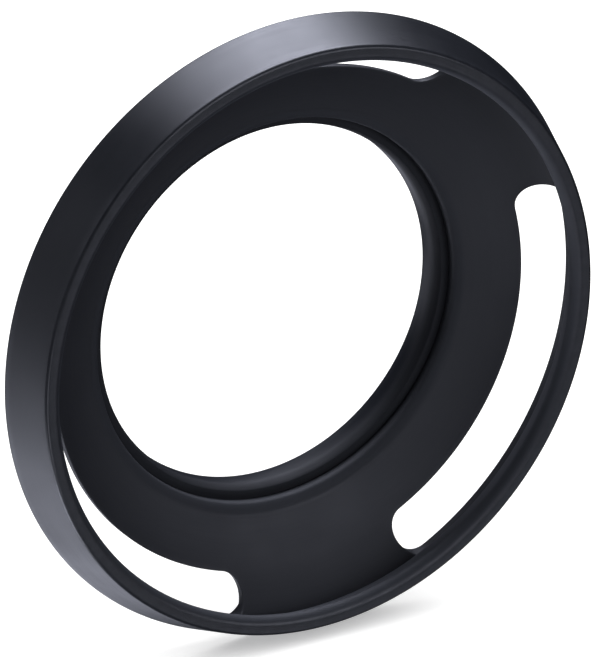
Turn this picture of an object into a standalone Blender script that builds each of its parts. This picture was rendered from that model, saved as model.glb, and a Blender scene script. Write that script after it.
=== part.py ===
"""Screw-in vented lens hood, turned from black anodised aluminium.

The optical axis is Y: the open front of the hood faces -Y and the lens is on the +Y side.
+Z is up. The origin is on the optical axis, in the plane where the hood seats on the lens.
Each outline below is a turned cross-section of (radius, depth) points, in metres, where
depth is measured from the front plane of the lip towards the lens.
"""

import math

import bmesh
import bpy
from mathutils import Vector

# Driving dimensions, in metres.
THREAD_RADIUS = 0.0230  # male filter thread, 46 mm x 0.75 mm, over its crests
THREAD_LENGTH = 0.0025
THREAD_RELIEF = 0.0004  # depth and width of the groove between thread and flange
BORE_RADIUS = 0.02165
SEAT_DEPTH = 0.0126  # lip to the plane that seats on the lens
FITTING_GAP = 0.0003

# Flared outer ring.
LIP_OUTER_RADIUS = 0.0353
LIP_INNER_RADIUS = 0.0330
LIP_OUTER_ROUND = 0.0005
LIP_INNER_ROUND = 0.0006
SHOULDER_RADIUS = 0.03725
SHOULDER_DEPTH = 0.0063
SHOULDER_ROUND = 0.00025
WALL_ROOT_RADIUS = 0.03454  # inner wall where it meets the dish
WALL_ROOT_DEPTH = 0.0038
SKIRT_INNER_RADIUS = 0.03615

# Curved dish: its front is one circular arc, steepest at the rim.
DISH_ARC_RADIUS = 0.0270
DISH_ARC_CENTRE_RADIUS = 0.0178
DISH_DEEPEST = 0.0100
DISH_THICKNESS = 0.0009
DISH_EDGE_DEPTH = WALL_ROOT_DEPTH + FITTING_GAP
DISH_EDGE_THICKNESS = 0.0018
DISH_EDGE_RADIUS = SKIRT_INNER_RADIUS - FITTING_GAP
DISH_BORE_RADIUS = 0.0231
BORE_LIP_ROUND = 0.0007
BOSS_RADIUS = 0.0258
BOSS_ROUND = 0.0003

# Mount ring, fitted into the back of the dish.
FLANGE_RADIUS = 0.0240
LEDGE_DEPTH = 0.0106  # ledge inside the dish that the ring stops against
RING_FRONT_DEPTH = LEDGE_DEPTH + FITTING_GAP
RING_BEVEL = 0.0004
RING_BEVEL_DEPTH = 0.0012
THREAD_BEVEL = 0.0003
TAIL_BEVEL = 0.0008

# Vents: equal arc-shaped slots with half-round ends.
VENT_COUNT = 3
VENT_INNER_RADIUS = 0.03033
VENT_OUTER_RADIUS = 0.03542
VENT_SPAN = math.radians(74.9)  # between the centres of a slot's two round ends
FIRST_VENT_ANGLE = math.radians(95.9)  # middle of the top slot, from +X towards +Z

# Fineness of the facets.
RING_STEPS = 72
DISH_ARC_STEPS = 7
VENT_ARC_STEPS = 16
VENT_END_STEPS = 6
ROUND_STEPS = 5
SHARP_ANGLE = math.radians(30)


def clear_scene():
    for old in list(bpy.data.objects):
        bpy.data.objects.remove(old, do_unlink=True)


def anodised(name, colour, roughness, metallic):
    """Black anodised aluminium: a dark Principled surface."""
    material = bpy.data.materials.new(name)
    material.use_nodes = True
    shader = material.node_tree.nodes["Principled BSDF"]
    shader.inputs["Base Color"].default_value = (*colour, 1.0)
    shader.inputs["Roughness"].default_value = roughness
    shader.inputs["Metallic"].default_value = metallic
    return material


def arc(centre, radius, start, end, steps):
    """Points on a circular arc, both ends included; angles in radians."""
    turn = (end - start) / steps
    return [
        (
            centre[0] + radius * math.cos(start + turn * i),
            centre[1] + radius * math.sin(start + turn * i),
        )
        for i in range(steps + 1)
    ]


def rounded(corners):
    """A closed outline from (radius, depth, round) corners, each round one a fillet."""
    outline = []
    for i, (x, y, size) in enumerate(corners):
        here = Vector((x, y))
        if size == 0.0:
            outline.append((x, y))
            continue
        before = (Vector(corners[i - 1][:2]) - here).normalized()
        after = (Vector(corners[(i + 1) % len(corners)][:2]) - here).normalized()
        half = before.angle(after) / 2
        centre = here + (before + after).normalized() * (size / math.sin(half))
        first = here + before * (size / math.tan(half)) - centre
        turn = math.copysign(math.pi - 2 * half, before.cross(after))
        start = math.atan2(first.y, first.x)
        outline += arc(centre, size, start, start - turn, ROUND_STEPS)
    return outline


def dish_arc(offset, first_radius, last_radius):
    """The dish's curve, moved `offset` back through the metal, between two radii."""
    size = DISH_ARC_RADIUS + offset
    centre = (DISH_ARC_CENTRE_RADIUS, DISH_DEEPEST - DISH_ARC_RADIUS)
    start = math.acos((first_radius - centre[0]) / size)
    end = math.acos((last_radius - centre[0]) / size)
    return arc(centre, size, start, end, DISH_ARC_STEPS)


def radius_on_dish(offset, depth):
    """The radius where the dish's curve reaches a depth."""
    size = DISH_ARC_RADIUS + offset
    height = depth - (DISH_DEEPEST - DISH_ARC_RADIUS)
    return DISH_ARC_CENTRE_RADIUS + math.sqrt(size * size - height * height)


def new_object(name, mesh_data, material=None):
    item = bpy.data.objects.new(name, mesh_data)
    bpy.context.scene.collection.objects.link(item)
    if material:
        mesh_data.materials.append(material)
    return item


def turned(name, outline, material):
    """A ring turned about the optical axis from a closed (radius, depth) outline."""
    shape = bmesh.new()
    points = [shape.verts.new((r, d - SEAT_DEPTH, 0.0)) for r, d in outline]
    edges = [shape.edges.new((points[i - 1], points[i])) for i in range(len(points))]
    bmesh.ops.spin(
        shape,
        geom=points + edges,
        cent=(0.0, 0.0, 0.0),
        axis=(0.0, 1.0, 0.0),
        angle=math.tau,
        steps=RING_STEPS,
        use_merge=True,
    )
    bmesh.ops.recalc_face_normals(shape, faces=shape.faces)
    mesh_data = bpy.data.meshes.new(name)
    shape.to_mesh(mesh_data)
    shape.free()
    mesh_data.shade_smooth()
    mesh_data.set_sharp_from_angle(angle=SHARP_ANGLE)
    return new_object(name, mesh_data, material)


def vent_outline(middle_angle):
    """A curved slot with half-round ends, as (x, z) points."""
    middle_radius = (VENT_INNER_RADIUS + VENT_OUTER_RADIUS) / 2
    end_radius = (VENT_OUTER_RADIUS - VENT_INNER_RADIUS) / 2
    low = middle_angle - VENT_SPAN / 2
    high = middle_angle + VENT_SPAN / 2
    axis = (0.0, 0.0)
    low_centre = (middle_radius * math.cos(low), middle_radius * math.sin(low))
    high_centre = (middle_radius * math.cos(high), middle_radius * math.sin(high))
    outer = arc(axis, VENT_OUTER_RADIUS, low, high, VENT_ARC_STEPS)
    high_end = arc(high_centre, end_radius, high, high + math.pi, VENT_END_STEPS)
    inner = arc(axis, VENT_INNER_RADIUS, high, low, VENT_ARC_STEPS)
    low_end = arc(low_centre, end_radius, low + math.pi, low + math.tau, VENT_END_STEPS)
    return outer[:-1] + high_end[:-1] + inner[:-1] + low_end[:-1]


def vent_cutter(index):
    """The straight cut of one vent, through the dish along the optical axis."""
    middle_angle = FIRST_VENT_ANGLE + math.tau * index / VENT_COUNT
    shape = bmesh.new()
    front = [shape.verts.new((x, -SEAT_DEPTH, z)) for x, z in vent_outline(middle_angle)]
    cap = shape.faces.new(front)
    block = bmesh.ops.extrude_face_region(shape, geom=[cap])
    back = [item for item in block["geom"] if isinstance(item, bmesh.types.BMVert)]
    bmesh.ops.translate(shape, verts=back, vec=(0.0, SEAT_DEPTH, 0.0))
    bmesh.ops.recalc_face_normals(shape, faces=shape.faces)
    name = f"vent_cutter_{index + 1}"
    mesh_data = bpy.data.meshes.new(name)
    shape.to_mesh(mesh_data)
    shape.free()
    cutter = new_object(name, mesh_data)
    cutter.hide_render = True
    cutter.display_type = "WIRE"
    return cutter


def shade_rim():
    """The flared outer ring: lip in front, skirt around the dish's edge behind."""
    outline = rounded(
        [
            (LIP_INNER_RADIUS, 0.0, LIP_INNER_ROUND),
            (LIP_OUTER_RADIUS, 0.0, LIP_OUTER_ROUND),
            (SHOULDER_RADIUS, SHOULDER_DEPTH, SHOULDER_ROUND),
            (SKIRT_INNER_RADIUS, SHOULDER_DEPTH, 0.0),
            (SKIRT_INNER_RADIUS, WALL_ROOT_DEPTH, 0.0),
            (WALL_ROOT_RADIUS, WALL_ROOT_DEPTH, 0.0),
        ]
    )
    return turned("shade_rim", outline, anodised("rim_anodised", (0.026, 0.029, 0.035), 0.38, 0.6))


def vented_dish():
    """The curved dish with its vents, its seating edge and the boss behind its bore."""
    edge_back = DISH_EDGE_DEPTH + DISH_EDGE_THICKNESS
    front_start = DISH_BORE_RADIUS + BORE_LIP_ROUND
    front = dish_arc(0.0, front_start, radius_on_dish(0.0, DISH_EDGE_DEPTH))
    back = dish_arc(DISH_THICKNESS, radius_on_dish(DISH_THICKNESS, edge_back), BOSS_RADIUS)
    bore_lip = arc(
        (front_start, front[0][1] + BORE_LIP_ROUND),
        BORE_LIP_ROUND,
        math.pi,
        1.5 * math.pi,
        ROUND_STEPS,
    )
    outline = [
        *bore_lip[:-1],
        *front,
        (DISH_EDGE_RADIUS, DISH_EDGE_DEPTH),
        (DISH_EDGE_RADIUS, edge_back),
        *back,
        (BOSS_RADIUS, SEAT_DEPTH - BOSS_ROUND),
        (BOSS_RADIUS - BOSS_ROUND, SEAT_DEPTH),
        (FLANGE_RADIUS + FITTING_GAP, SEAT_DEPTH),
        (FLANGE_RADIUS + FITTING_GAP, LEDGE_DEPTH),
        (DISH_BORE_RADIUS, LEDGE_DEPTH),
    ]
    dish = turned("vented_dish", outline, anodised("dish_anodised", (0.020, 0.021, 0.024), 0.55, 0.3))
    for index in range(VENT_COUNT):
        cut = dish.modifiers.new(f"vent_{index + 1}", "BOOLEAN")
        cut.operation = "DIFFERENCE"
        cut.solver = "EXACT"
        cut.object = vent_cutter(index)
    return dish


def mount_ring():
    """The ring that screws into the lens: flange in the dish, male filter thread behind."""
    tail = SEAT_DEPTH + THREAD_LENGTH
    relief_radius = THREAD_RADIUS - THREAD_RELIEF
    outline = [
        (BORE_RADIUS + RING_BEVEL, RING_FRONT_DEPTH),
        (FLANGE_RADIUS, RING_FRONT_DEPTH),
        (FLANGE_RADIUS, SEAT_DEPTH),
        (relief_radius, SEAT_DEPTH),
        (relief_radius, SEAT_DEPTH + THREAD_RELIEF),
        (THREAD_RADIUS, SEAT_DEPTH + THREAD_RELIEF),
        (THREAD_RADIUS, tail - THREAD_BEVEL),
        (THREAD_RADIUS - THREAD_BEVEL, tail),
        (BORE_RADIUS + TAIL_BEVEL, tail),
        (BORE_RADIUS, tail - TAIL_BEVEL),
        (BORE_RADIUS, RING_FRONT_DEPTH + RING_BEVEL_DEPTH),
    ]
    return turned("mount_ring", outline, anodised("ring_anodised", (0.030, 0.032, 0.038), 0.32, 0.7))


def main():
    clear_scene()
    hood = bpy.data.objects.new("lens_hood", None)
    bpy.context.scene.collection.objects.link(hood)
    for part in (shade_rim(), vented_dish(), mount_ring()):
        part.parent = hood


main()
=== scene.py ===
"""Looks for the vented screw-in lens hood: turned surfaces, black anodised finish, studio."""

import math

import bmesh
import bpy
import numpy as np
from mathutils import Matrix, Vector
from mathutils.geometry import delaunay_2d_cdt


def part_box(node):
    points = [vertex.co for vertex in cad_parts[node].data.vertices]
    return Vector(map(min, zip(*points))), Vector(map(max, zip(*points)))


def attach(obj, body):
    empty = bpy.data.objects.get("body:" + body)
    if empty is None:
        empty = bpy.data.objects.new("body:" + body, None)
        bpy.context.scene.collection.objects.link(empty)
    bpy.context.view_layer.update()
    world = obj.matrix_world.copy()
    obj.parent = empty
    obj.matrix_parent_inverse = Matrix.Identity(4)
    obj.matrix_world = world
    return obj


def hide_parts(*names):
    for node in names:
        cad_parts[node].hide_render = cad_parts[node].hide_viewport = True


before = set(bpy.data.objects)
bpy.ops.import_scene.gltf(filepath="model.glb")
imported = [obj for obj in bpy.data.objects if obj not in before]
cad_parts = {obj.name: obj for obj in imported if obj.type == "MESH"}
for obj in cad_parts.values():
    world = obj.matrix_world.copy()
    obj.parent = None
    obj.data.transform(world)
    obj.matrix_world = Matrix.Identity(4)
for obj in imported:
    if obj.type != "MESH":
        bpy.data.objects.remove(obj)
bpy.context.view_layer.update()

# Radii and depths are in mm; depths are counted from the lip's front plane towards the lens.
MM = 0.001
SEAT_DEPTH = 12.6  # the depth of the seat on the lens, which is the frame's origin
STEPS = 360  # facets around a turned surface
WELD_DISTANCE = 2e-7  # in metres
FLOOR_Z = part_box("shade_rim")[0].z

# The rim.
LIP_INNER, LIP_OUTER = 32.66, 35.30
SHOULDER_RADIUS, SHOULDER_DEPTH = 37.25, 6.30
SKIRT_INNER = 36.13
WALL_ROOT_RADIUS, WALL_ROOT_DEPTH = 34.54, 3.80

# The dish's curve: one arc in (radius, depth), and the same arc moved back by its thickness.
ARC_RADIUS, ARC_CENTRE_RADIUS, ARC_DEEPEST = 27.0, 17.8, 10.0
DISH_THICKNESS = 0.9
DISH_EDGE = 36.1
EDGE_FRONT, EDGE_BACK = 3.83, 5.9
FINE_INNER, FINE_OUTER = 29.2, 35.88  # the zone of the dish that holds the vents

# The dish turns down to its bore on a rounding that ends at a crisp edge.
MOUTH_ROUND = 3.6
MOUTH_CENTRE, MOUTH_DEPTH = 25.25, 12.7
MOUTH_START = 24.24  # where the dish's curve runs into the rounding
LIP_EDGE = 23.38
DISH_BORE = 23.1

# The boss behind the dish, and the pocket in it that holds the mount ring.
BOSS_RADIUS, BOSS_ROOT = 25.8, 0.5
POCKET_RADIUS, POCKET_DEPTH = 24.03, 10.88

VENT_INNER, VENT_OUTER = 30.33, 35.42
VENT_MIDDLE = (VENT_INNER + VENT_OUTER) / 2
VENT_HALF_WIDTH = (VENT_OUTER - VENT_INNER) / 2
VENT_HALF_SPAN = math.radians(74.9 / 2)
VENT_ANGLES = [math.radians(95.9 + 120 * i) for i in range(3)]
VENT_EDGE = 0.14  # rounding of the vents' edges
VENT_CLEARANCE = 0.12  # from that rounding to the nearest plain point of the dish
VENT_ARC_STEPS, VENT_END_STEPS = 128, 32
ON_VENT_WALL = 0.05  # an edge no further than this from a vent's wall belongs to it

# The mount ring.
BORE_RADIUS = 21.65
FLANGE_RADIUS, FLANGE_DEPTH = 24.0, 10.92
STEP_INNER = 22.18  # the flat face of the flange ends here, before the funnel
FUNNEL_ROUND, FUNNEL_LENGTH, FUNNEL_END = 2.65, 1.43, 12.4  # the bore's widening towards it
THREAD_LENGTH = 2.5
THREAD_PITCH = 0.75
THREAD_HEIGHT = 0.43
THREAD_CREST = 23.0
THREAD_ROWS = 16  # rows of points in one turn of the thread
TAIL_OUTER = 22.46  # the end of the ring, inside the thread's lead-in


# ---------------------------------------------------------------- turned shapes


def soft_outline(corners, steps):
    """(radius, depth, edge) points of an outline whose corners are filleted.

    A corner is (radius, depth, fillet); `edge` is 1 on a fillet and 0 on a plain point.
    """
    outline = []
    count = len(corners)
    for i, (x, y, size) in enumerate(corners):
        if size == 0:
            outline.append((x, y, 0.0))
            continue
        here = Vector((x, y))
        before = (Vector(corners[i - 1][:2]) - here).normalized()
        after = (Vector(corners[(i + 1) % count][:2]) - here).normalized()
        half = before.angle(after) / 2
        centre = here + (before + after).normalized() * (size / math.sin(half))
        first = here + before * (size / math.tan(half)) - centre
        turn = math.copysign(math.pi - 2 * half, before.cross(after))
        start = math.atan2(first.y, first.x)
        for k in range(steps + 1):
            a = start - turn * k / steps
            outline.append((centre.x + size * math.cos(a), centre.y + size * math.sin(a), 1.0))
    return outline


def spaced(outline, longest):
    """The closed outline with points added, so that no stretch is longer than `longest`."""
    out = []
    for i, a in enumerate(outline):
        b = outline[(i + 1) % len(outline)]
        parts = max(1, math.ceil(math.dist(a[:2], b[:2]) / longest))
        for k in range(parts):
            f = k / parts
            edge = a[2] if k == 0 else 0.0
            out.append((a[0] + (b[0] - a[0]) * f, a[1] + (b[1] - a[1]) * f, edge))
    return out


def turned_grid(outline, closed):
    """Vertices, faces and edge weights of an outline turned about the optical axis."""
    angles = np.linspace(0, math.tau, STEPS, endpoint=False)
    cosines, sines = np.cos(angles), np.sin(angles)
    verts, weights = [], []
    for radius, depth, edge in outline:
        for c, s in zip(cosines, sines):
            verts.append((radius * c, depth - SEAT_DEPTH, radius * s))
            weights.append(edge)
    rows = len(outline)
    faces = []
    for j in range(rows if closed else rows - 1):
        low, high = j * STEPS, (j + 1) % rows * STEPS
        for i in range(STEPS):
            k = (i + 1) % STEPS
            faces.append((low + i, low + k, high + k, high + i))
    return verts, faces, weights


def build(name, chunks, sharp=32):
    """One closed mesh object from chunks of (vertices in mm, faces, edge weights).

    An edge that turns by more than `sharp` degrees isn't shaded smooth.
    """
    verts, faces, weights = [], [], []
    for chunk_verts, chunk_faces, chunk_weights in chunks:
        base = len(verts)
        verts += chunk_verts
        weights += chunk_weights
        faces += [tuple(base + i for i in face) for face in chunk_faces]
    shape = bmesh.new()
    layer = shape.verts.layers.float.new("edge_wear")
    points = []
    for co, weight in zip(verts, weights):
        point = shape.verts.new([c * MM for c in co])
        point[layer] = weight
        points.append(point)
    for face in faces:
        shape.faces.new([points[i] for i in face])
    bmesh.ops.remove_doubles(shape, verts=shape.verts, dist=WELD_DISTANCE)
    bmesh.ops.dissolve_degenerate(shape, edges=shape.edges, dist=1e-8)
    bmesh.ops.recalc_face_normals(shape, faces=shape.faces)
    open_edges = [e for e in shape.edges if len(e.link_faces) != 2]
    print(f"{name}: {len(shape.faces)} faces, {len(open_edges)} open edges")
    mesh = bpy.data.meshes.new(name)
    shape.to_mesh(mesh)
    shape.free()
    mesh.shade_smooth()
    mesh.set_sharp_from_angle(angle=math.radians(sharp))
    item = bpy.data.objects.new(name, mesh)
    bpy.context.scene.collection.objects.link(item)
    return item


# ---------------------------------------------------------------- the shade rim


def make_rim():
    corners = [
        (LIP_INNER, 0.0, 1.0),
        (LIP_OUTER, 0.0, 0.48),
        (SHOULDER_RADIUS, SHOULDER_DEPTH, 0.22),
        (SKIRT_INNER, SHOULDER_DEPTH, 0.12),
        (SKIRT_INNER, WALL_ROOT_DEPTH, 0.0),
        (WALL_ROOT_RADIUS, WALL_ROOT_DEPTH, 0.10),
    ]
    outline = spaced(soft_outline(corners, steps=10), longest=0.9)
    return build("shade_rim_turned", [turned_grid(outline, True)])


# ---------------------------------------------------------------- the vented dish


def depth_on_arc(r, size):
    """The depth at a radius of an arc of the dish."""
    drop = size**2 - (r - ARC_CENTRE_RADIUS) ** 2
    return ARC_DEEPEST - ARC_RADIUS + math.sqrt(max(drop, 0.0))


def front_depth(r):
    return max(depth_on_arc(r, ARC_RADIUS), EDGE_FRONT)


def back_depth(r):
    return max(depth_on_arc(r, ARC_RADIUS + DISH_THICKNESS), EDGE_BACK)


def arc_meets(size, depth):
    """The radius where an arc of the dish reaches a depth."""
    return ARC_CENTRE_RADIUS + math.sqrt(size**2 - (depth - ARC_DEEPEST + ARC_RADIUS) ** 2)


def vent_distance(x, z):
    """Signed distance to the nearest vent's wall, positive in the metal."""
    r, angle = math.hypot(x, z), math.atan2(z, x)
    nearest = math.inf
    for middle in VENT_ANGLES:
        off = (angle - middle + math.pi) % math.tau - math.pi
        if abs(off) <= VENT_HALF_SPAN:
            gap = abs(r - VENT_MIDDLE)
        else:
            end = middle + math.copysign(VENT_HALF_SPAN, off)
            gap = math.hypot(x - VENT_MIDDLE * math.cos(end), z - VENT_MIDDLE * math.sin(end))
        nearest = min(nearest, gap - VENT_HALF_WIDTH)
    return nearest


def vent_ring(middle, offset):
    """Points around one vent, `offset` out from its wall."""
    half = VENT_HALF_WIDTH + offset
    low, high = middle - VENT_HALF_SPAN, middle + VENT_HALF_SPAN
    points = []

    def along_arc(radius, start, end):
        for i in range(VENT_ARC_STEPS):
            a = start + (end - start) * i / VENT_ARC_STEPS
            points.append((radius * math.cos(a), radius * math.sin(a)))

    def round_end(at, start):
        x, z = VENT_MIDDLE * math.cos(at), VENT_MIDDLE * math.sin(at)
        for i in range(VENT_END_STEPS):
            a = start + math.pi * i / VENT_END_STEPS
            points.append((x + half * math.cos(a), z + half * math.sin(a)))

    along_arc(VENT_MIDDLE + half, low, high)
    round_end(high, high)
    along_arc(VENT_MIDDLE - half, high, low)
    round_end(low, low + math.pi)
    return points


def inside(x, z, loop):
    """Whether a point is inside a closed loop of points."""
    x0, z0 = loop[:, 0], loop[:, 1]
    x1, z1 = np.roll(x0, -1), np.roll(z0, -1)
    crosses = (z0 > z) != (z1 > z)
    rise = np.where(z1 == z0, 1.0, z1 - z0)
    return int((crosses & (x < x0 + (z - z0) * (x1 - x0) / rise)).sum()) % 2 == 1


def circle(r, turn=0.0):
    """Points round a circle, turned by a part of one step."""
    angles = [math.tau * (i + turn) / STEPS for i in range(STEPS)]
    return [(r * math.cos(a), r * math.sin(a)) for a in angles]


def vent_zone_triangles():
    """Points (x, z) and triangles of the zone between FINE_INNER and FINE_OUTER, vents open."""
    points, edges = [], []

    def add_loop(loop, keep=lambda x, z: True):
        """Adds a loop's points and, if it keeps all of them, its edges."""
        kept = [p for p in loop if keep(*p)]
        if len(kept) == len(loop):
            base = len(points)
            edges.extend((base + i, base + (i + 1) % len(loop)) for i in range(len(loop)))
        points.extend(kept)

    def clear_of_vents(x, z):
        return vent_distance(x, z) > VENT_EDGE + VENT_CLEARANCE

    add_loop(circle(FINE_INNER))
    add_loop(circle(FINE_OUTER))
    bands = 14
    for k in range(1, bands):
        r = FINE_INNER + (FINE_OUTER - FINE_INNER) * k / bands
        add_loop(circle(r, 0.5 * (k % 2)), clear_of_vents)
    add_loop(circle(arc_meets(ARC_RADIUS, EDGE_FRONT)))
    add_loop(circle(arc_meets(ARC_RADIUS + DISH_THICKNESS, EDGE_BACK)))
    for middle in VENT_ANGLES:
        for k in range(5):
            add_loop(vent_ring(middle, VENT_EDGE * (1 - math.cos(math.radians(22.5 * k)))))
    made, _, triangles, *_ = delaunay_2d_cdt([Vector(p) for p in points], edges, [], 0, 1e-6)
    openings = [np.array(vent_ring(middle, 0.0)) for middle in VENT_ANGLES]
    openings.append(np.array(circle(FINE_INNER)))
    keep = []
    for tri in triangles:
        x = sum(made[i].x for i in tri) / 3
        z = sum(made[i].y for i in tri) / 3
        if not any(inside(x, z, loop) for loop in openings):
            keep.append(tuple(tri))
    return made, keep


def vent_zone():
    """The dish between FINE_INNER and FINE_OUTER: both faces and the vents' walls."""
    made, triangles = vent_zone_triangles()
    front, back, weights = [], [], []
    for p in made:
        r = math.hypot(p.x, p.y)
        t = max(0.0, vent_distance(p.x, p.y))
        dip = 0.0
        if t < VENT_EDGE:
            dip = VENT_EDGE - math.sqrt(VENT_EDGE**2 - (VENT_EDGE - t) ** 2)
        front.append((p.x, front_depth(r) + dip - SEAT_DEPTH, p.y))
        back.append((p.x, back_depth(r) - dip - SEAT_DEPTH, p.y))
        weights.append(1.0 if t < VENT_EDGE * 0.95 else 0.0)
    count = len(made)
    faces = triangles + [tuple(count + i for i in reversed(tri)) for tri in triangles]
    lone_edges = {}
    for a, b, c in triangles:
        for edge in ((a, b), (b, c), (c, a)):
            key = tuple(sorted(edge))
            lone_edges[key] = None if key in lone_edges else edge
    for a, b in filter(None, lone_edges.values()):
        x, z = (made[a].x + made[b].x) / 2, (made[a].y + made[b].y) / 2
        if abs(vent_distance(x, z)) < ON_VENT_WALL:
            faces.append((b, a, count + a, count + b))
    used = sorted({i for face in faces for i in face})
    index = {old: new for new, old in enumerate(used)}
    verts, weights = front + back, weights + weights
    return (
        [verts[i] for i in used],
        [tuple(index[i] for i in face) for face in faces],
        [weights[i] for i in used],
    )


def mouth_arc(start, end, steps):
    """Points of the rounding before the dish's bore, by angle from the front in degrees."""
    points = []
    for k in range(steps + 1):
        a = math.radians(start + (end - start) * k / steps)
        radius = MOUTH_CENTRE - MOUTH_ROUND * math.sin(a)
        points.append((radius, MOUTH_DEPTH - MOUTH_ROUND * math.cos(a)))
    return points


def make_dish():
    # From the vents inwards over the front, down the bore and the pocket, and round the boss.
    # A point is (radius, depth, edge wear).
    meets = math.degrees(math.asin((MOUTH_CENTRE - MOUTH_START) / MOUTH_ROUND))
    ends = math.degrees(math.asin((MOUTH_CENTRE - LIP_EDGE) / MOUTH_ROUND))
    inner = [(r, front_depth(r), 0.0) for r in np.linspace(FINE_INNER, MOUTH_START + 0.2, 20)]
    inner += [(r, depth, 0.0) for r, depth in mouth_arc(meets, ends, 8)]
    edge = inner[-1][1]
    inner += [
        (LIP_EDGE - 0.12, edge + 0.09, 0.0),
        (LIP_EDGE - 0.20, edge + 0.20, 0.0),
        (LIP_EDGE - 0.25, edge + 0.38, 0.0),
        (DISH_BORE + 0.02, 10.4, 0.0),
        (DISH_BORE, POCKET_DEPTH - 0.11, 0.0),
        (DISH_BORE, POCKET_DEPTH - 0.04, 0.0),
        (DISH_BORE + 0.06, POCKET_DEPTH, 0.0),
        (POCKET_RADIUS, POCKET_DEPTH, 0.0),
        (POCKET_RADIUS, 11.7, 0.0),  # divides the pocket's wall
        (POCKET_RADIUS, SEAT_DEPTH - 0.12, 1.0),
        (POCKET_RADIUS + 0.12, SEAT_DEPTH, 1.0),
        (24.8, SEAT_DEPTH, 0.0),  # divides the boss's end face
        (BOSS_RADIUS - 0.28, SEAT_DEPTH, 1.0),
        (BOSS_RADIUS - 0.14, SEAT_DEPTH - 0.05, 1.0),
        (BOSS_RADIUS - 0.03, SEAT_DEPTH - 0.15, 1.0),
        (BOSS_RADIUS, SEAT_DEPTH - 0.28, 1.0),
    ]
    root = BOSS_RADIUS + BOSS_ROOT
    foot = back_depth(root) + BOSS_ROOT
    inner += [(BOSS_RADIUS, 11.5, 0.0), (BOSS_RADIUS, foot + 0.12, 0.0)]  # the boss's wall
    for k in range(1, 7):
        a = math.radians(90 * k / 7)
        inner.append((root - BOSS_ROOT * math.cos(a), foot + 0.05 - BOSS_ROOT * math.sin(a), 0.0))
    inner += [(r, back_depth(r), 0.0) for r in np.linspace(root + 0.1, FINE_INNER, 9)]
    # From the vents outwards, round the edge that sits in the rim.
    outer = [
        (FINE_OUTER, EDGE_FRONT, 0.0),
        (DISH_EDGE - 0.06, EDGE_FRONT, 0.0),
        (DISH_EDGE, EDGE_FRONT + 0.06, 0.0),
        (DISH_EDGE, EDGE_BACK - 0.12, 1.0),
        (DISH_EDGE - 0.04, EDGE_BACK - 0.04, 1.0),
        (DISH_EDGE - 0.12, EDGE_BACK, 1.0),
        (FINE_OUTER, EDGE_BACK, 0.0),
    ]
    chunks = [turned_grid(inner, False), turned_grid(outer, False), vent_zone()]
    return build("vented_dish_turned", chunks)


# ---------------------------------------------------------------- the mount ring


def thread_radius(depth, angle, start, end):
    """The right-handed 60-degree thread, with a run-out at the seat and a lead-in chamfer."""
    phase = (depth / THREAD_PITCH + angle / math.tau) % 1.0
    root_flat, flank = 0.13, 0.70  # in half pitches
    wave = min(1.0, max(0.0, (abs(phase - 0.5) * 2 - root_flat) / flank))
    radius = THREAD_CREST - THREAD_HEIGHT * (1 - wave)
    lead_in = THREAD_CREST - 0.50 + (end - depth)
    run_out = THREAD_CREST - THREAD_HEIGHT + (depth - start) * 1.4
    return min(radius, lead_in, run_out)


def thread_grid(start, end):
    """The threaded surface, as a helical grid squeezed flat at both of its ends."""
    verts, weights, rows = [], [], []
    turns = math.ceil((end - start) / THREAD_PITCH) + 1
    for j in range(THREAD_ROWS * turns + 1):
        row = []
        for i in range(STEPS + 1):
            angle = math.tau * i / STEPS
            depth = start + (j / THREAD_ROWS - i / STEPS) * THREAD_PITCH
            depth = min(max(depth, start), end)
            radius = thread_radius(depth, angle, start, end)
            row.append(len(verts))
            verts.append((radius * math.cos(angle), depth - SEAT_DEPTH, radius * math.sin(angle)))
            weights.append(1.0 if radius > THREAD_CREST - 0.06 else 0.0)
        rows.append(row)
    faces = []
    for low, high in zip(rows, rows[1:]):
        for i in range(STEPS):
            corners = [low[i], low[i + 1], high[i + 1], high[i]]
            spots = [tuple(round(c, 5) for c in verts[k]) for k in corners]
            kept = [k for n, k in enumerate(corners) if spots[n] not in spots[:n]]
            if len(kept) > 2:
                faces.append(tuple(kept))
    return verts, faces, weights


def thread_skirt(depth, start, end, rim_radius, rim_depth):
    """A strip from the thread's end at `depth` to a plain circle."""
    verts, faces = [], []
    for i in range(STEPS):
        a = math.tau * i / STEPS
        radius = thread_radius(depth, a, start, end)
        verts.append((radius * math.cos(a), depth - SEAT_DEPTH, radius * math.sin(a)))
        verts.append((rim_radius * math.cos(a), rim_depth - SEAT_DEPTH, rim_radius * math.sin(a)))
        k = (i + 1) % STEPS
        faces.append((2 * i, 2 * k, 2 * k + 1, 2 * i + 1))
    return verts, faces, [0.0] * len(verts)


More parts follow.
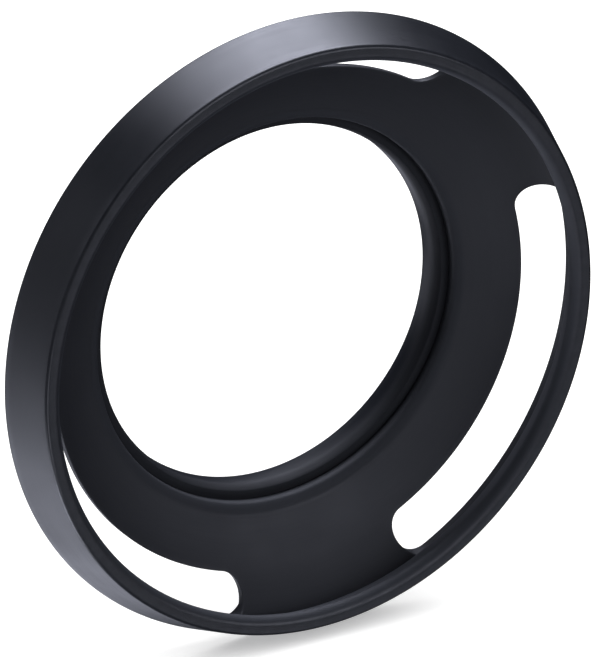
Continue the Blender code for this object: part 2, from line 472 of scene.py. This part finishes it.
def make_ring():
    tail = SEAT_DEPTH + THREAD_LENGTH
    start, end = SEAT_DEPTH + 0.35, tail - 0.02
    root = THREAD_CREST - THREAD_HEIGHT - 0.02
    # From the thread's root round the flange, through the bore, and out to the tail.
    body = [
        (root, start - 0.05, 0.0),
        (root, SEAT_DEPTH + 0.02, 0.0),
        (root + 0.02, SEAT_DEPTH, 0.0),
        (23.3, SEAT_DEPTH, 0.0),
        (FLANGE_RADIUS - 0.15, SEAT_DEPTH, 1.0),
        (FLANGE_RADIUS - 0.04, SEAT_DEPTH - 0.06, 1.0),
        (FLANGE_RADIUS, SEAT_DEPTH - 0.16, 1.0),
        (FLANGE_RADIUS, 11.6, 0.0),  # divides the flange's wall
        (FLANGE_RADIUS, FLANGE_DEPTH + 0.06, 0.0),
        (FLANGE_RADIUS - 0.06, FLANGE_DEPTH, 0.0),
        (23.3, FLANGE_DEPTH, 0.0),
        (22.6, FLANGE_DEPTH, 0.0),
        (STEP_INNER, FLANGE_DEPTH, 1.0),
        (STEP_INNER - 0.07, FLANGE_DEPTH + 0.015, 1.0),
    ]
    funnel_steps = 9
    funnel_centre = BORE_RADIUS + FUNNEL_ROUND
    for k in range(funnel_steps):
        back = FUNNEL_LENGTH * (1 - k / funnel_steps)
        reach = math.sqrt(FUNNEL_ROUND**2 - back**2)
        body.append((funnel_centre - reach, FUNNEL_END - back, 1.0 if k == 0 else 0.0))
    body += [
        (BORE_RADIUS, FUNNEL_END + 0.1, 0.0),
        (BORE_RADIUS, 13.3, 0.0),  # divides the bore's wall
        (BORE_RADIUS, tail - 0.90, 1.0),
        (BORE_RADIUS + 0.04, tail - 0.78, 1.0),
        (TAIL_OUTER - 0.12, tail - 0.06, 1.0),
        (TAIL_OUTER - 0.04, tail, 1.0),
        (TAIL_OUTER, tail, 0.0),
    ]
    chunks = [thread_grid(start, end), turned_grid(body, False)]
    chunks.append(thread_skirt(start, start, end, root, start - 0.05))
    chunks.append(thread_skirt(end, start, end, TAIL_OUTER, tail))
    return build("mount_ring_threaded", chunks, sharp=28)


# ---------------------------------------------------------------- finish


class Nodes:
    """Short-hand for wiring a procedural material."""

    def __init__(self, material):
        self.tree = material.node_tree
        self.shader = self.tree.nodes["Principled BSDF"]

    def add(self, kind, **settings):
        node = self.tree.nodes.new(kind)
        for key, value in settings.items():
            setattr(node, key, value)
        return node

    def link(self, source, target):
        self.tree.links.new(source, target)

    def math(self, operation, *values):
        node = self.add("ShaderNodeMath", operation=operation)
        for i, value in enumerate(values):
            if isinstance(value, (int, float)):
                node.inputs[i].default_value = value
            else:
                self.link(value, node.inputs[i])
        return node.outputs[0]

    def noise(self, vector, scale, detail=3.0, rough=0.55):
        node = self.add("ShaderNodeTexNoise")
        node.inputs["Scale"].default_value = scale
        node.inputs["Detail"].default_value = detail
        node.inputs["Roughness"].default_value = rough
        self.link(vector, node.inputs["Vector"])
        return node.outputs["Fac"]

    def ramp(self, value, low, high, out_low, out_high):
        node = self.add("ShaderNodeMapRange")
        for i, number in enumerate((low, high, out_low, out_high)):
            node.inputs[i + 1].default_value = number
        self.link(value, node.inputs[0])
        return node.outputs[0]

    def mix(self, amount, first, second):
        """A mix of two colours, each an (r, g, b) tuple or another node's output."""
        node = self.add("ShaderNodeMix", data_type="RGBA")
        self.link(amount, node.inputs[0])
        for value, target in ((first, node.inputs[6]), (second, node.inputs[7])):
            if isinstance(value, tuple):
                target.default_value = (*value, 1.0)
            else:
                self.link(value, target)
        return node.outputs[2]


LATHE_SCALE, GRAIN_SCALE, BLOTCH_SCALE, RUB_SCALE = 9.0, 9000.0, 160.0, 700.0
LATHE_DRIFT = 0.35  # how much the lathe lines change on the way round
EDGE_WEAR = 0.10
WORN_COLOUR = (0.16, 0.165, 0.175)
TINT_SPREAD = 0.14  # lighter and darker than the finish's own colour, as a part of it
ROUGHNESS_SPREAD, LATHE_STREAK, WORN_POLISH = 0.03, 0.035, 0.35  # changes of roughness
BUMP_HEIGHT = 0.000004
FINISH_IOR = 1.6


def anodised(name, colour, roughness, turning, grain, shine=0.5, matt_and_painted_light=None):
    """Black anodised aluminium: lathe lines that run round the axis, fine grain, worn edges.

    The last argument is a flatter black inside `radius`, which fades in from depth `bare`
    to depth `full`; its colour, lighter or darker than the finish's own, is painted light and
    shade.
    """
    material = bpy.data.materials.new(name)
    material.use_nodes = True
    n = Nodes(material)
    place = n.add("ShaderNodeTexCoord").outputs["Object"]
    axes = n.add("ShaderNodeSeparateXYZ")
    n.link(place, axes.inputs[0])
    x, y, z = axes.outputs
    radius = n.math("SQRT", n.math("ADD", n.math("MULTIPLY", x, x), n.math("MULTIPLY", z, z)))
    across = n.math("DIVIDE", x, n.math("MAXIMUM", radius, MM))
    around = n.add("ShaderNodeCombineXYZ")
    n.link(n.math("MULTIPLY", radius, 1 / MM), around.inputs[0])
    n.link(n.math("MULTIPLY", y, 1 / MM), around.inputs[1])
    n.link(n.math("MULTIPLY", across, LATHE_DRIFT), around.inputs[2])
    lathe = n.noise(around.outputs[0], LATHE_SCALE, 2.0, 0.6)
    fine = n.noise(place, GRAIN_SCALE, 2.0, 0.6)
    blotch = n.noise(place, BLOTCH_SCALE, 4.0, 0.6)

    shades = [tuple(c * (1 + spread) for c in colour) for spread in (-TINT_SPREAD, TINT_SPREAD)]
    mottle = n.math("ADD", n.math("MULTIPLY", blotch, 0.6), n.math("MULTIPLY", lathe, 0.4))
    skin = n.mix(mottle, *shades)
    edge = n.add("ShaderNodeAttribute", attribute_name="edge_wear").outputs["Fac"]
    rubbed = n.ramp(n.noise(place, RUB_SCALE, 4.0, 0.65), 0.42, 0.72, 0.25, 1.0)
    worn = n.math("MULTIPLY", n.math("MULTIPLY", edge, rubbed), EDGE_WEAR)
    skin = n.mix(worn, skin, WORN_COLOUR)
    dull = n.ramp(blotch, 0.3, 0.7, roughness - ROUGHNESS_SPREAD, roughness + ROUGHNESS_SPREAD)
    if matt_and_painted_light:
        soft = 0.1  # the limit's softness, in mm
        limits = [(matt_and_painted_light["radius"] + side) * MM for side in (soft, -soft)]
        within = n.ramp(radius, *limits, 0.0, 1.0)
        bare, full = [(matt_and_painted_light[key] - SEAT_DEPTH) * MM for key in ("bare", "full")]
        fades = (0.0, 1.0) if bare < full else (1.0, 0.0)
        along = n.ramp(y, min(bare, full), max(bare, full), *fades)
        matt_and_painted_light_mask = n.math("MULTIPLY", within, along)
        # The zone's colour is painted light and painted shade, lighter or darker than the finish;
        # its added roughness is a real, duller finish.
        skin = n.mix(matt_and_painted_light_mask, skin, matt_and_painted_light["colour"])
        dull = n.math("ADD", dull, n.math("MULTIPLY", matt_and_painted_light_mask, matt_and_painted_light["roughness"] - roughness))
    n.link(skin, n.shader.inputs["Base Color"])

    streaks = n.ramp(lathe, 0.3, 0.7, -LATHE_STREAK, LATHE_STREAK)
    smoother = n.math("MULTIPLY", worn, -WORN_POLISH)
    n.link(n.math("ADD", n.math("ADD", dull, streaks), smoother), n.shader.inputs["Roughness"])

    height = n.math("ADD", n.math("MULTIPLY", lathe, turning), n.math("MULTIPLY", fine, grain))
    bump = n.add("ShaderNodeBump")
    bump.inputs["Strength"].default_value = 1.0
    bump.inputs["Distance"].default_value = BUMP_HEIGHT
    n.link(height, bump.inputs["Height"])
    n.link(bump.outputs[0], n.shader.inputs["Normal"])
    n.shader.inputs["IOR"].default_value = FINISH_IOR
    n.shader.inputs["Specular IOR Level"].default_value = shine
    return material


# ---------------------------------------------------------------- studio


def direction(azimuth, elevation):
    """The unit vector to a place round the object; azimuth 0 is straight in front of the lip."""
    a, e = math.radians(azimuth), math.radians(elevation)
    return Vector((math.sin(a) * math.cos(e), -math.cos(a) * math.cos(e), math.sin(e)))


def aim(item, back):
    item.rotation_mode = "QUATERNION"
    item.rotation_quaternion = (-back).to_track_quat("-Z", "Y")


WHITE = (1.0, 1.0, 1.0)
SOFT_LIGHT_SIZE = 0.34
LIGHT_DISTANCE = 0.9
SOFT_LIGHTS = [  # azimuth, elevation, power: cool soft boxes all round the object
    (130, 50, 1.46),
    (138, 58, 2.21),
    (150, 68, 1.31),
    (110, 75, 1.06),
    (180, 75, 1.54),
    (-157, 70, 0.41),
    (172, 32, 0.14),
    (-97, 31, 0.29),
    (10, 20, 0.78),
    (-60, 10, 0.12),
    (-110, 6, 0.14),
    (28, 4, 1.05),
    (-150, -15, 0.29),
    (-122, -17, 0.41),
    (-17, -29, 0.85),
    (-120, -33, 0.37),
    (35, -35, 0.32),
    (-135, -45, 0.85),
    (175, -45, 0.33),
    (-82, -53, 2.90),
    (-167, -59, 0.47),
]
SOFT_LIGHT_COLOUR = (0.935, 0.965, 1.135)
FLOOR_LIGHT_SIZE, FLOOR_LIGHT_POWER = 3.2, 62.0
FLOOR_HALF_SIZE = 6.0
FLOOR_GLOW, FLOOR_GLOW_FAR = 0.42, 1.05  # the floor's own light near the object and away from it
GLOW_NEAR, GLOW_FAR = 0.12, 0.5  # where the one ends and the other starts, in metres


def group(name, items):
    """A collection that a light is limited to."""
    made = bpy.data.collections.new(name)
    for item in items:
        made.objects.link(item)
    return made


def soft_light(name, azimuth, elevation, size, power, colour, receivers):
    data = bpy.data.lights.new(name, "AREA")
    data.size = size
    data.energy = power
    data.color = colour
    item = bpy.data.objects.new(name, data)
    bpy.context.scene.collection.objects.link(item)
    back = direction(azimuth, elevation)
    item.location = back * LIGHT_DISTANCE
    aim(item, back)
    item.visible_camera = False
    item.light_linking.receiver_collection = receivers


def make_floor():
    """A white floor: it glows a little, more with distance, and takes the object's shadow."""
    size = FLOOR_HALF_SIZE
    mesh = bpy.data.meshes.new("studio_floor")
    corners = [(-size, -size), (size, -size), (size, size), (-size, size)]
    mesh.from_pydata([(x, y, FLOOR_Z) for x, y in corners], [], [(0, 1, 2, 3)])
    item = bpy.data.objects.new("studio_floor", mesh)
    bpy.context.scene.collection.objects.link(item)
    material = bpy.data.materials.new("pale_floor")
    material.use_nodes = True
    n = Nodes(material)
    place = n.add("ShaderNodeTexCoord").outputs["Object"]
    away = n.add("ShaderNodeVectorMath", operation="LENGTH")
    n.link(place, away.inputs[0])
    glow = n.ramp(away.outputs["Value"], GLOW_NEAR, GLOW_FAR, FLOOR_GLOW, FLOOR_GLOW_FAR)
    n.link(glow, n.shader.inputs["Emission Strength"])
    n.link(n.ramp(n.noise(place, 3.0, 2.0), 0.3, 0.7, 0.86, 0.9), n.shader.inputs["Roughness"])
    n.shader.inputs["Emission Color"].default_value = (*WHITE, 1.0)
    n.shader.inputs["Base Color"].default_value = (0.8, 0.8, 0.8, 1.0)
    n.shader.inputs["Specular IOR Level"].default_value = 0.2
    mesh.materials.append(material)
    item.visible_diffuse = False
    item.visible_glossy = False
    item.visible_shadow = False
    return item


CAMERA_AZIMUTH, CAMERA_ELEVATION = -30.35, 24.39
CAMERA_LENS = 1200.0  # a long lens, because the photo is close to a parallel view
CAMERA_DISTANCE = 2.4488
AIM_RIGHT, AIM_UP = -2.096 * MM, 1.513 * MM  # from the lip's centre to the picture's centre


def make_camera():
    data = bpy.data.cameras.new("camera")
    data.lens = CAMERA_LENS
    data.sensor_width = 36.0
    data.clip_start, data.clip_end = 0.1, 20.0
    camera = bpy.data.objects.new("camera", data)
    bpy.context.scene.collection.objects.link(camera)
    back = direction(CAMERA_AZIMUTH, CAMERA_ELEVATION)
    aim(camera, back)
    right = camera.rotation_quaternion @ Vector((1, 0, 0))
    up = camera.rotation_quaternion @ Vector((0, 1, 0))
    lip_centre = Vector((0, -SEAT_DEPTH * MM, 0))
    camera.location = lip_centre + right * AIM_RIGHT + up * AIM_UP + back * CAMERA_DISTANCE
    bpy.context.scene.camera = camera


def make_world():
    """A white background that lights nothing."""
    world = bpy.data.worlds.new("studio")
    world.use_nodes = True
    background = world.node_tree.nodes["Background"]
    background.inputs[0].default_value = (*WHITE, 1.0)
    background.inputs[1].default_value = 1.0
    world.cycles_visibility.diffuse = False
    world.cycles_visibility.glossy = False
    bpy.context.scene.world = world


# ---------------------------------------------------------------- assembly

# A second, duller black on the rim's inner wall, round the dish's lip and in the ring's front.
# Its roughness is the finish's own. Its colour is painted light and shade: lighter as painted
# light on the rim's inner wall, lighter as a painted highlight round the dish's lip, darker as
# painted shade in the ring's recessed front.
RIM_MATT_AND_PAINTED_LIGHT = {
    "radius": 34.7,  # in mm, as the depths are
    "bare": 0.0,
    "full": 0.25,
    # lighter than the rim's black: painted light on the inner wall and the lip's inner rounding
    "colour": (0.041, 0.044, 0.050),
    "roughness": 0.70,
}
DISH_MATT_AND_PAINTED_HIGHLIGHT = {
    "radius": 24.3,
    "bare": 8.9,
    "full": 9.4,
    # lighter than the dish's black: a painted highlight round the dish's lip
    "colour": (0.024, 0.026, 0.030),
    "roughness": 0.75,
}
RING_MATT_AND_PAINTED_SHADE = {
    "radius": 23.2,
    "bare": 12.9,
    "full": 11.6,
    # darker than the ring's black: painted shade on the recessed flange face and the funnel
    # before the bore
    "colour": (0.007, 0.008, 0.010),
    "roughness": 0.72,
}
RIM_FINISH = anodised("rim_black", (0.013, 0.0145, 0.0175), 0.38, 0.5, 0.35, matt_and_painted_light=RIM_MATT_AND_PAINTED_LIGHT)
DISH_FINISH = anodised("dish_black", (0.014, 0.015, 0.018), 0.55, 0.6, 0.45, matt_and_painted_light=DISH_MATT_AND_PAINTED_HIGHLIGHT)
RING_FINISH = anodised(
    "ring_black", (0.014, 0.0155, 0.019), 0.40, 0.5, 0.25, shine=0.33, matt_and_painted_light=RING_MATT_AND_PAINTED_SHADE
)

pieces = []
for maker, node, slot, finish in (
    (make_rim, "shade_rim", "rim_anodised", RIM_FINISH),
    (make_dish, "vented_dish", "dish_anodised", DISH_FINISH),
    (make_ring, "mount_ring", "ring_anodised", RING_FINISH),
):
    piece = maker()
    piece.data.materials.append(finish)
    pieces.append(piece)
    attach(piece, "root")
    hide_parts(node)

floor = make_floor()
make_camera()
make_world()
on_object = group("lit_by_softboxes", pieces)
for azimuth, elevation, power in SOFT_LIGHTS:
    name = f"softbox_{azimuth}_{elevation}"
    soft_light(name, azimuth, elevation, SOFT_LIGHT_SIZE, power, SOFT_LIGHT_COLOUR, on_object)
on_floor = group("lit_by_overhead", [floor])
soft_light("overhead", 0, 90, FLOOR_LIGHT_SIZE, FLOOR_LIGHT_POWER, WHITE, on_floor)
bpy.context.scene.view_settings.view_transform = "Standard"
